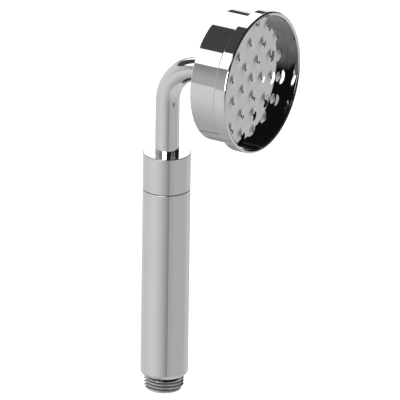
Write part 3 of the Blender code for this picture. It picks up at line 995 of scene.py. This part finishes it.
def makeSpreader(look=spreaderLook):
    low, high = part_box("water_spreader")
    disc = latheMesh("waterSpreader", [
        (0.0, high.x),
        (high.y, high.x, look["edge"]),
        (high.y, low.x, look["edge"]),
        (0.0, low.x),
    ], place=alongX, steps=160)
    spots = []
    for reach, count in look["rings"]:
        spots += ringSpots(reach, count)
    finishPiece("waterSpreader", drilled(disc, spots, look["holeRadius"], low.x, high.x, alongX),
                whitePlastic, "neck_and_head", ["water_spreader"])


springLook = {"coil": 2.5 * mm, "wire": 0.25 * mm, "turns": 5.0, "rise": 2.5 * mm}


def makeSpring(look=springLook):
    # rides on the poppet
    low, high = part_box("valve_spring")
    tall = high.z - low.z
    tree = newTree("coilSpring", {
        "Turns": ("Float", look["turns"]),
        "Radius": ("Float", look["coil"]),
        "Height": ("Float", tall - 2 * look["wire"]),
        "Wire": ("Float", look["wire"]),
    })
    given = tree.nodes.new("NodeGroupInput").outputs
    coil = grow(tree, "CurveSpiral", Resolution=48, Rotations=given["Turns"], Start_Radius=given["Radius"],
                End_Radius=given["Radius"], Height=given["Height"])
    endTree(tree, roundWire(tree, coil, given["Wire"], 12, low.z + look["wire"]), steel)
    piece = finishPiece("valveSpring", growMesh("valveSpring", tree), steel, "check_valve",
                        ["valve_spring"], sharp=50.0)
    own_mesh(piece)


screenLook = {"rim": 0.75 * mm, "pitch": 0.6 * mm, "wire": 0.1 * mm, "swing": 0.11 * mm, "samples": 8}


def makeScreen(look=screenLook):
    # a turned rim, and wires that cross over and under each other inside it
    low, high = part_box("inlet_filter")
    reach = high.x
    lathe("screenRim", [
        (reach, high.z, 0.25 * mm),
        (reach, low.z, 0.25 * mm),
        (reach - look["rim"], low.z, softEdge),
        (reach - look["rim"], high.z, softEdge),
    ], steel, "handle", ["inlet_filter"], "steel", steps=128)
    count = 2 * int((reach - 0.5 * look["rim"]) / look["pitch"]) + 1
    span = (count - 1) * look["pitch"]
    tree = newTree("wovenScreen", {
        "Wires": ("Int", count),
        "Samples": ("Int", (count - 1) * look["samples"] + 1),
        "Swing": ("Float", look["swing"]),
        "Wire": ("Float", look["wire"]),
        "Reach": ("Float", reach - 0.5 * look["rim"]),
    })
    given = tree.nodes.new("NodeGroupInput").outputs
    strand = grow(tree, "CurvePrimitiveLine", Start=(-span / 2, 0.0, 0.0), End=(span / 2, 0.0, 0.0))
    fine = grow(tree, "ResampleCurve", Curve=strand, Count=given["Samples"])
    stations = grow(tree, "MeshLine", {"mode": "OFFSET"}, Count=given["Wires"],
                    Start_Location=(0.0, -span / 2, 0.0), Offset=(0.0, look["pitch"], 0.0))
    laid = grow(tree, "InstanceOnPoints", Points=stations, Instance=fine)
    loose = grow(tree, "RealizeInstances", Geometry=laid)
    parts = addNode(tree, "ShaderNodeSeparateXYZ", Vector=grow(tree, "InputPosition")).outputs
    waves = []
    for axis in (0, 1):
        turn = times(tree, parts[axis], math.pi / look["pitch"])
        waves.append(math2(tree, "COSINE", turn, 0.0))
    lift = times(tree, times(tree, *waves), given["Swing"])
    bent = grow(tree, "SetPosition", Geometry=loose, Offset=combine(tree, Z=lift))
    across = grow(tree, "Transform", Geometry=bent, Rotation=(0.0, 0.0, math.pi / 2),
                  Scale=(1.0, 1.0, -1.0))
    both = addNode(tree, "GeometryNodeJoinGeometry")
    tree.links.new(bent, both.inputs[0])
    tree.links.new(across, both.inputs[0])
    outside = math2(tree, "GREATER_THAN", distance2(tree, parts["X"], parts["Y"]), given["Reach"])
    trimmed = grow(tree, "DeleteGeometry", {"domain": "POINT"}, Geometry=both.outputs[0], Selection=outside)
    endTree(tree, roundWire(tree, trimmed, given["Wire"], 6, (low.z + high.z) / 2), steel)
    finishPiece("screenCloth", growMesh("screenCloth", tree), steel, "handle", sharp=70.0)


makeSeals()
makeSleeves()
makeGlandNut()
makeLockNut()
makeSpigot()
makeRoseSpigot()
makeRegulatorCup()
makeValveHousing()
makeValveGuide()
makePoppet()
makeSpreader()
makeSpring()
makeScreen()
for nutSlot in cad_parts["rose_nut"].material_slots:
    nutSlot.material = brass
print("inner pieces made")


cameraLook = {"azimuth": 31.56, "elevation": 20.58, "roll": 0.81, "distance": 8.0, "viewWidth": 0.2114,
              "target": (20.04 * mm, 1.4 * mm, 110.16 * mm)}


def makeCamera(look=cameraLook):
    azimuth = math.radians(look["azimuth"])
    elevation = math.radians(look["elevation"])
    back = Vector((math.sin(azimuth) * math.cos(elevation), -math.cos(azimuth) * math.cos(elevation),
                   math.sin(elevation)))
    camera = bpy.data.objects.new("camera", bpy.data.cameras.new("camera"))
    scene.collection.objects.link(camera)
    camera.rotation_mode = "QUATERNION"
    camera.location = Vector(look["target"]) + back * look["distance"]
    facing = (-back).to_track_quat("-Z", "Y")
    tilt = Matrix.Rotation(math.radians(look["roll"]), 4, "Z").to_quaternion()
    camera.rotation_quaternion = facing @ tilt
    camera.data.sensor_width = 36.0
    camera.data.lens = camera.data.sensor_width * look["distance"] / look["viewWidth"]
    camera.data.clip_end = 100.0
    scene.camera = camera


# the studio round the object: large cards that the chrome reflects, each hung over the ones before it
# azimuth runs from +X toward +Y and both angles are in degrees, and each edge has its own softness
studioBase = 0.86   # light where no card hangs
# name: azimuth span, its softness, elevation span, its softness, light
studioCards = {
    "leftFloor": ((-150, -46), (50, 1), (-95, 5), (1, 2), 0.97),
    "sideFloor": ((60, 128), (20, 12), (-95, 5), (1, 2), 0.79),
    "rightFloor": ((95, 121), (18, 2), (-32, -16), (6, 6), 0.52),
    "frontFloor": ((-43, 58), (1, 26), (-95, 5), (1, 2), 0.67),
    "frontCorner": ((-43, -26), (1, 16), (-36, 5), (10, 2), 0.6),
    "cornerShade": ((-86, -43.5), (86, 1), (-95, 5), (1, 2), 0.31),
    "lowFloor": ((-180, 180), (0, 0), (-95, -50), (1, 55), 0.45),
    "underFloor": ((-70, 92), (30, 20), (-95, -36), (1, 28), 0.9),
    "lowSide": ((117, 150), (4, 10), (-56, -24), (10, 5), 0.38),
    "backWall": ((119, 242), (2, 6), (-13, 100), (10, 1), 1.0),
    "sideGlow": ((82, 112), (8, 2), (-17, 5), (4, 2), 1.15),
    "backGlow": ((116, 150), (2, 20), (-11, 9), (8, 6), 1.2),
    "ceiling": ((-180, 180), (0, 0), (22, 100), (4, 1), 0.085),
    "leftWall": ((-142, -100), (36, 6), (-3, 26.6), (2, 1), 0.62),
    "leftWallTop": ((-136, -100), (24, 6), (16, 26.6), (16, 1), 0.38),
    "cornerFront": ((-62, 58), (1, 2), (-12.5, 100), (15, 1), 0.03),
    "rightFront": ((58, 108), (2, 2), (-1, 100), (5, 1), 0.02),
    "backShade": ((106, 152), (2, 8), (7, 19.8), (5, 1), 0.07),
    "backSoftbox": ((112, 152), (1, 2), (20.0, 55.0), (1, 1), 2.2),
    "leftSoftbox": ((-152, -112), (2, 1), (26.8, 47.2), (1, 1), 2.2),
    "keySoftbox": ((-103, -65), (1, 1), (-1, 27), (2, 1), 8.0),
    "highSoftbox": ((-86, -58), (1, 1), (38, 49), (1, 1), 2.4),
}
cardBends = {"cornerShade": 2}   # cards whose first side fades along a curve


def cardEdge(tree, angle, edge, softness, rising):
    half = max(softness, 0.01) / 2 * (1 if rising else -1)
    return ramp(tree, angle, edge - half, edge + half)


def cardMask(tree, azimuth, elevation, name):
    # 1 inside the card's window of directions, fading to 0 over its soft edges
    (start, end), (softStart, softEnd), (low, high), (softLow, softHigh) = studioCards[name][:-1]
    mask = times(tree, cardEdge(tree, elevation, low, softLow, True),
                 cardEdge(tree, elevation, high, softHigh, False))
    if end - start >= 360:
        return mask
    middle = (start + end) / 2
    reach = end - middle
    wrap = tree.nodes.new("ShaderNodeMath")
    wrap.operation = "WRAP"
    tree.links.new(math2(tree, "SUBTRACT", azimuth, middle), wrap.inputs[0])
    wrap.inputs[1].default_value = 180.0
    wrap.inputs[2].default_value = -180.0
    side = cardEdge(tree, wrap.outputs[0], -reach, softStart, True)
    side = math2(tree, "POWER", side, cardBends.get(name, 1))
    mask = times(tree, mask, side)
    return times(tree, mask, cardEdge(tree, wrap.outputs[0], reach, softEnd, False))


def mixLevel(tree, mask, under, over):
    node = tree.nodes.new("ShaderNodeMix")
    node.data_type = "FLOAT"
    for socket, value in zip((node.inputs[0], node.inputs[2], node.inputs[3]), (mask, under, over)):
        if isinstance(value, bpy.types.NodeSocket):
            tree.links.new(value, socket)
        else:
            socket.default_value = value
    return node.outputs[0]


def makeWorld(cards=studioCards):
    world = bpy.data.worlds.new("studio")
    scene.world = world
    world.use_nodes = True
    tree = world.node_tree
    background = tree.nodes["Background"]
    coord = tree.nodes.new("ShaderNodeTexCoord")
    parts = tree.nodes.new("ShaderNodeSeparateXYZ")
    tree.links.new(coord.outputs["Generated"], parts.inputs[0])
    toDegrees = 180 / math.pi
    bearing = math2(tree, "ARCTAN2", parts.outputs["Y"], parts.outputs["X"])
    azimuth = times(tree, bearing, toDegrees)
    elevation = times(tree, math2(tree, "ARCSINE", parts.outputs["Z"], 0.0), toDegrees)
    level = studioBase
    for name, card in cards.items():
        level = mixLevel(tree, cardMask(tree, azimuth, elevation, name), level, card[-1])
    path = tree.nodes.new("ShaderNodeLightPath")
    level = mixLevel(tree, path.outputs["Is Camera Ray"], level, 1.0)   # plain white behind the object
    tree.links.new(level, background.inputs["Strength"])
    background.inputs["Color"].default_value = (1.0, 1.0, 1.0, 1.0)


floorLook = {"halfSize": 3.0, "drop": 60 * mm, "glow": 0.85}


def makeFloor(look=floorLook):
    mesh = bpy.data.meshes.new("paleFloor")
    half = look["halfSize"]
    level = -look["drop"]
    corners = [(-half, -half, level), (half, -half, level), (half, half, level), (-half, half, level)]
    mesh.from_pydata(corners, [], [(0, 1, 2, 3)])
    floor = bpy.data.objects.new("paleFloor", mesh)
    scene.collection.objects.link(floor)
    material, tree, shader = newMaterial("palePaper")
    shader.inputs["Base Color"].default_value = (0.9, 0.9, 0.9, 1.0)
    shader.inputs["Roughness"].default_value = 0.9
    shader.inputs["Emission Color"].default_value = (1.0, 1.0, 1.0, 1.0)
    shader.inputs["Emission Strength"].default_value = look["glow"]
    # seen from below the floor lets the object show
    clear = tree.nodes.new("ShaderNodeBsdfTransparent")
    side = tree.nodes.new("ShaderNodeNewGeometry")
    both = tree.nodes.new("ShaderNodeMixShader")
    tree.links.new(side.outputs["Backfacing"], both.inputs[0])
    tree.links.new(shader.outputs[0], both.inputs[1])
    tree.links.new(clear.outputs[0], both.inputs[2])
    tree.links.new(both.outputs[0], tree.nodes["Material Output"].inputs["Surface"])
    mesh.materials.append(material)
    floor.visible_glossy = False
    floor.visible_diffuse = False


scene.view_settings.view_transform = "Standard"
makeCamera()
makeWorld()
makeFloor()
